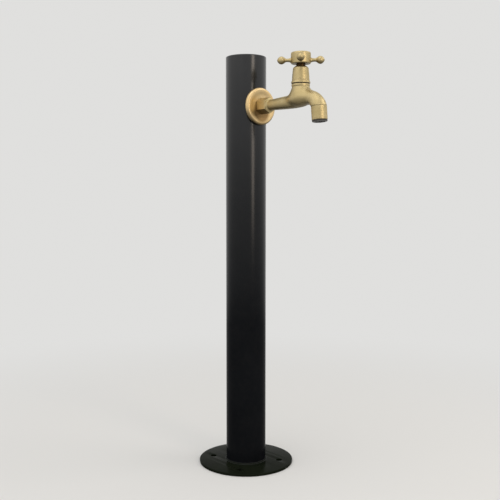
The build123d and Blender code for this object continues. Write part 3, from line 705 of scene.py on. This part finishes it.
def outlet_ring():
    mount = mounts["spout_outlet"]
    along = Vector(mount["axis"]).normalized()
    length = mount["dims"]["length_mm"] * MM
    radius = mount["dims"]["r_mm"] * MM
    start = Vector(mount["pos_m"]) - along * (length / 2 + RING_TOP)
    foot = RING_TOP + length + RING_CHAMFER
    above, top, bottom, below = (foot - edge for edge in LINE_EDGES)
    profile = [
        (RING_BORE, RING_TOP), (radius - RING_GROOVE, RING_TOP), (radius, RING_TOP + RING_GROOVE),
        (radius, above), (radius - LINE_DEPTH, top), (radius - LINE_DEPTH, bottom), (radius, below),
        (radius, foot - RING_CHAMFER), (radius - RING_BREAK, foot - RING_BREAK),
        (radius - RING_CHAMFER, foot), (RING_BORE, foot),
    ]
    ring = lathe("outlet_ring", profile, start, along, closed=True)
    dress(ring, "column", "antique_brass", brass_turned, "nozzle_collar")


# Tap body: the CAD surface as a casting, with its junctions blended and its edges softened

CAST_VOXEL = 0.42 * MM

# Where the skin is fitted, and how much, in millimetres from the valve's axis and the arm's axis
SKIN_DEPTH = 4.5
LEAST_FACING = 0.2
FLANGE_FADE = 2.0
HEXAGON_MARGIN = 1.5
HEXAGON_FADE = 4.0
SPOUT_END = 25.0
SPOUT_FADE = 6.0
BOTH_WAYS_END = 22.0
BOTH_WAYS_FADE = 8.0
FIT_ROUNDS = 5
FIT_STEP = 0.85
FIT_OUT = 3.0
FIT_IN = 1.0
NEAR_GAIN = 2.2
NEAR_START = 0.2
SLOPE_STEP = 0.1
LEAST_SLOPE = 0.2
EASE_ROUNDS = 30
EASE_STEP = 0.6

# The blend is narrowest at its foot, under the belly, and widens upwards
BLEND_WIDTH = 15.0
BLEND_LEAST = 0.15
BLEND_FOOT = -10.0
BLEND_RISE = 13.0

# The form that the skin is fitted to, in millimetres
NECK_FOOT = 5.0
NECK_TOP = 20.3
NECK_TOP_RADIUS = 12.0
NECK_FOOT_RADIUS = 13.4
BELLY_DEPTH = 7.6
ARM_LENGTH = 63.5
ARM_RISE = 0.6
ARM_START_RADIUS = 7.8
ARM_END_RADIUS = 10.0
ARM_STEPS = 8

# Centre line and radius of the arm and the spout, as (x, height, radius)
ARM = tuple(
    (
        (share - 1) * ARM_LENGTH,
        share * ARM_RISE,
        ARM_START_RADIUS + (ARM_END_RADIUS - ARM_START_RADIUS) * sin(pi / 2 * share),
    )
    for share in (step / ARM_STEPS for step in range(ARM_STEPS - 1))
)
SPOUT = (
    ARM[-1], (-8.0, 0.75, 10.1), (0.0, 1.3, 9.9), (9.0, 2.4, 9.7), (17.5, 2.9, 9.95),
    (25.0, 1.2, 10.28), (31.2, -3.0, 10.59), (36.3, -10.5, 11.1),
)


def curved(points, steps=4):
    """Points along a smooth curve through the given ones."""
    ends = np.array([points[0], *points, points[-1]])
    result = []
    for before, start, end, after in zip(ends, ends[1:], ends[2:], ends[3:]):
        for share in np.arange(steps) / steps:
            bend = 2 * before - 5 * start + 4 * end - after
            twist = 3 * (start - end) + after - before
            result.append(start + ((end - before) * share + bend * share ** 2 + twist * share ** 3) / 2)
    return result + [ends[-1]]


LIMB = [np.array(point) for point in ARM[:-1]] + curved(SPOUT)


def limb_distance(points):
    """Distance to the arm and spout's skin, in millimetres, from their centre line and radii."""
    best = np.full(len(points), 1e9)
    for start, end in zip(LIMB, LIMB[1:]):
        a = np.array([start[0], 0.0, start[1]])
        run = np.array([end[0], 0.0, end[1]]) - a
        share = np.clip((points - a) @ run / (run @ run), 0, 1)
        radius = start[2] + (end[2] - start[2]) * share
        away = np.linalg.norm(points - a - share[:, None] * run, axis=1) - radius
        best = np.minimum(best, away)
    return best


def neck_distance(points):
    """Distance to the skin of the neck and the round belly under it, in millimetres."""
    share = np.clip((points[:, 2] - NECK_FOOT) / (NECK_TOP - NECK_FOOT), 0, 1)
    radius = NECK_FOOT_RADIUS + (NECK_TOP_RADIUS - NECK_FOOT_RADIUS) * share
    below = np.maximum(NECK_FOOT - points[:, 2], 0) * NECK_FOOT_RADIUS / (NECK_FOOT + BELLY_DEPTH)
    return np.hypot(np.hypot(points[:, 0], points[:, 1]), below) - radius


def blend_value(points):
    """Smooth union of neck and limb, tighter under the belly, and how strongly they blend at each point."""
    limb, neck = limb_distance(points), neck_distance(points)
    rise = np.clip((points[:, 2] - BLEND_FOOT) / BLEND_RISE, 0, 1)
    width = BLEND_WIDTH * (BLEND_LEAST + (1 - BLEND_LEAST) * rise ** 2 * (3 - 2 * rise))
    nearness = np.clip(1 - np.abs(limb - neck) / width, 0, 1)
    return np.minimum(limb, neck) - nearness ** 2 * width / 4, nearness


def blend_slope(points):
    """The form's outward slope at each point."""
    return np.stack([
        (blend_value(points + step)[0] - blend_value(points - step)[0]) / (2 * SLOPE_STEP)
        for step in np.eye(3) * SLOPE_STEP
    ], axis=1)


def eased(mesh, points, weight):
    """The points moved towards their neighbours' middle, as far as their weight lets them."""
    ends = np.empty(len(mesh.edges) * 2, dtype=np.int64)
    mesh.edges.foreach_get("vertices", ends)
    one, two = ends[0::2], ends[1::2]
    degree = np.bincount(ends, minlength=len(points))[:, None]
    result = points.copy()
    for _ in range(EASE_ROUNDS):
        total = np.zeros_like(result)
        for axis in range(3):
            total[:, axis] += np.bincount(one, result[two, axis], len(points))
            total[:, axis] += np.bincount(two, result[one, axis], len(points))
        result += (total / degree - result) * weight[:, None] * EASE_STEP
    return result


def softened(piece, iterations):
    """Replaces the piece's mesh with one that has its modifiers and a smoothing applied."""
    soften = piece.modifiers.new("soften", "SMOOTH")
    soften.factor = 0.5
    soften.iterations = iterations
    mesh = applied(piece)
    piece.modifiers.clear()
    piece.data = mesh
    mesh.name = "tap_casting"
    return mesh


def fitted(skin, fade):
    """The skin's points on the blended form: moved outwards in the blends, and both ways before the spout."""
    both_ways = np.clip((BOTH_WAYS_END - skin[:, 0]) / BOTH_WAYS_FADE, 0, 1)
    for _ in range(FIT_ROUNDS):
        value, nearness = blend_value(skin)
        slope = blend_slope(skin)
        near = np.maximum(np.clip(nearness * NEAR_GAIN - NEAR_START, 0, 1), both_ways)
        push = (np.clip(-value, 0, FIT_OUT) * near - np.clip(value, 0, FIT_IN) * both_ways) * fade
        steepness = np.maximum((slope ** 2).sum(axis=1), LEAST_SLOPE)
        skin += slope * (push / steepness)[:, None] * FIT_STEP
    return skin


def tap_casting():
    mesh = nodes["tap_body"].data.copy()
    piece = new_object("tap_casting", mesh)
    merge(mesh, 0.002 * MM)
    remesh = piece.modifiers.new("cast", "REMESH")
    remesh.mode = "VOXEL"
    remesh.voxel_size = CAST_VOXEL
    made = softened(piece, 3)
    flat = np.empty(len(made.vertices) * 3)
    made.vertices.foreach_get("co", flat)
    local = (flat.reshape(-1, 3) - np.array(VALVE_CENTRE)) / MM
    # Only the outside between the hexagon and the outlet, below the flange, is blended
    made.vertex_normals.foreach_get("vector", flat)
    facing = (flat.reshape(-1, 3) * blend_slope(local)).sum(axis=1)
    outside = (blend_value(local)[0] > -SKIN_DEPTH) & (facing > LEAST_FACING)
    below_flange = np.clip((NECK_TOP - local[:, 2]) / FLANGE_FADE, 0, 1)
    past_hexagon = np.clip((local[:, 0] + ARM_LENGTH - HEXAGON_MARGIN) / HEXAGON_FADE, 0, 1)
    before_outlet = np.clip((SPOUT_END - local[:, 0]) / SPOUT_FADE, 0, 1)
    fade = below_flange * past_hexagon
    weight = outside * fade * before_outlet
    moved = np.flatnonzero(weight)
    local[moved] = fitted(local[moved], fade[moved])
    local = eased(made, local, weight)
    points = local * MM + np.array(VALVE_CENTRE)
    made.vertices.foreach_set("co", points.ravel())
    made.update()
    for polygon in softened(piece, 4).polygons:
        polygon.use_smooth = True
    return dress(piece, "column", "antique_brass", brass_cast, "tap_body")


# Stage, lights and camera

FLOOR_RADIUS = 9.0
FLOOR_STEPS = 96
PAPER = (0.79, 0.787, 0.775)
PAPER_CLOUD = (0.765, 0.76, 0.745)
PAPER_GLOW = (0.745, 0.742, 0.73)
# Painted shade below the plate, and how far out it reaches as a share of the plate's radius
SHADE_BELOW_PLATE = (0.035, 0.03, 0.026)
SHADE_BELOW_PLATE_SHARE = 0.93
FADE_START = 0.3
FADE_END = 1.15
AMBIENT = (0.67, 0.665, 0.655)
AMBIENT_STRENGTH = 0.99

# Name, azimuth, height, distance, width, tall, power, colour and the height aimed at
LAMPS = (
    ("key_left", -50, 2.3, 1.5, 3.2, 3.2, 15, (1.0, 0.98, 0.95), 0.3),
    ("strip_right", 40, 0.72, 1.6, 0.42, 0.85, 3.6, (1.0, 0.86, 0.72), 0.55),
    ("fill_right", 88, 1.55, 1.3, 0.8, 0.8, 3.4, (1.0, 0.96, 0.9), 0.5),
    ("overhead", 0, 2.4, 0.2, 1.6, 1.6, 5, (1.0, 1.0, 1.0), 0.3),
)


def pale_stage():
    """Pale floor that keeps the shadow near the object and runs into the backdrop's tone further out; a dark
    disc below the plate is painted shade, seen through its holes.
    """
    bm = bmesh.new()
    bmesh.ops.create_circle(bm, cap_ends=True, radius=FLOOR_RADIUS, segments=FLOOR_STEPS)
    mesh = as_mesh(bm, "pale_floor")
    floor = new_object("pale_floor", mesh)
    shader = Shader("pale_floor")
    length = shader.add("ShaderNodeVectorMath", operation="LENGTH")
    shader.link(shader.place, length.inputs[0])
    # Painted shade: a dark disc below the plate shows through its holes.
    under = shader.math("LESS_THAN", length.outputs["Value"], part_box("base_plate")[1].x * SHADE_BELOW_PLATE_SHARE)
    tone = shader.mix(shader.spread(shader.noise(0.25, 3.0), 0.0, 0.3), PAPER, PAPER_CLOUD)
    shader.colour(shader.mix(under, tone, SHADE_BELOW_PLATE))
    shader.set("Roughness", 0.9)
    shader.set("Specular IOR Level", 0.1)
    glow = shader.add("ShaderNodeEmission")
    glow.inputs["Color"].default_value = (*PAPER_GLOW, 1)
    far = shader.add("ShaderNodeMapRange", interpolation_type="SMOOTHSTEP")
    far.inputs["From Min"].default_value = FADE_START
    far.inputs["From Max"].default_value = FADE_END
    shader.link(length.outputs["Value"], far.inputs["Value"])
    mixer = shader.add("ShaderNodeMixShader")
    shader.link(far.outputs["Result"], mixer.inputs["Fac"])
    shader.link(shader.surface.outputs["BSDF"], mixer.inputs[1])
    shader.link(glow.outputs["Emission"], mixer.inputs[2])
    output = shader.tree.nodes["Material Output"]
    shader.link(mixer.outputs["Shader"], output.inputs["Surface"])
    mesh.materials.append(shader.material)


def soft_world():
    """Even dim light from all round, with the pale backdrop where camera, mirror and glass rays end."""
    world = bpy.data.worlds.new("studio")
    bpy.context.scene.world = world
    world.use_nodes = True
    tree = world.node_tree
    background = tree.nodes["Background"]
    background.inputs["Color"].default_value = (*AMBIENT, 1)
    background.inputs["Strength"].default_value = AMBIENT_STRENGTH
    backdrop = tree.nodes.new("ShaderNodeBackground")
    backdrop.inputs["Color"].default_value = (*PAPER_GLOW, 1)
    backdrop.inputs["Strength"].default_value = 1.0
    path = tree.nodes.new("ShaderNodeLightPath")
    mixer = tree.nodes.new("ShaderNodeMixShader")
    seen = path.outputs["Is Camera Ray"]
    for kind in ("Is Glossy Ray", "Is Transmission Ray"):
        either = tree.nodes.new("ShaderNodeMath")
        either.operation = "MAXIMUM"
        tree.links.new(seen, either.inputs[0])
        tree.links.new(path.outputs[kind], either.inputs[1])
        seen = either.outputs[0]
    tree.links.new(seen, mixer.inputs["Fac"])
    tree.links.new(background.outputs["Background"], mixer.inputs[1])
    tree.links.new(backdrop.outputs["Background"], mixer.inputs[2])
    tree.links.new(mixer.outputs["Shader"], tree.nodes["World Output"].inputs["Surface"])


def softbox(name, azimuth, height, distance, width, tall, power, colour, aim):
    """Area light at an azimuth in degrees from the camera's side, positive to the camera's right."""
    heading = radians(azimuth) - CAMERA_HEADING
    place = Vector((distance * cos(heading), distance * sin(heading), height))
    data = bpy.data.lights.new(name, "AREA")
    data.shape = "RECTANGLE"
    data.size = width
    data.size_y = tall
    data.energy = power
    data.color = colour
    lamp = new_object(name, data)
    lamp.location = place
    lamp.rotation_mode = "QUATERNION"
    lamp.rotation_quaternion = (Vector((0, 0, aim)) - place).to_track_quat("-Z", "Y")


def camera():
    data = bpy.data.cameras.new("photo_view")
    data.sensor_width = SENSOR_WIDTH
    data.lens = SENSOR_WIDTH * FOCAL_PIXELS / PHOTO_SIDE
    data.shift_x = COLUMN_SHIFT_PIXELS / PHOTO_SIDE
    data.clip_start = 0.01
    data.clip_end = 50.0
    view = new_object("photo_view", data)
    view.location = (
        CAMERA_DISTANCE * cos(CAMERA_HEADING), -CAMERA_DISTANCE * sin(CAMERA_HEADING), CAMERA_HEIGHT,
    )
    ahead = Vector((
        -cos(CAMERA_PITCH) * cos(CAMERA_HEADING), cos(CAMERA_PITCH) * sin(CAMERA_HEADING), -sin(CAMERA_PITCH),
    ))
    view.rotation_mode = "QUATERNION"
    view.rotation_quaternion = ahead.to_track_quat("-Z", "Y")
    bpy.context.scene.camera = view


camera()
base_plate()
column()
weld_bead()
rosette()
headwork()
spokes()
outlet_ring()
tap_casting()
pale_stage()
soft_world()
for lamp in LAMPS:
    softbox(*lamp)

bpy.context.scene.view_settings.view_transform = "Standard"
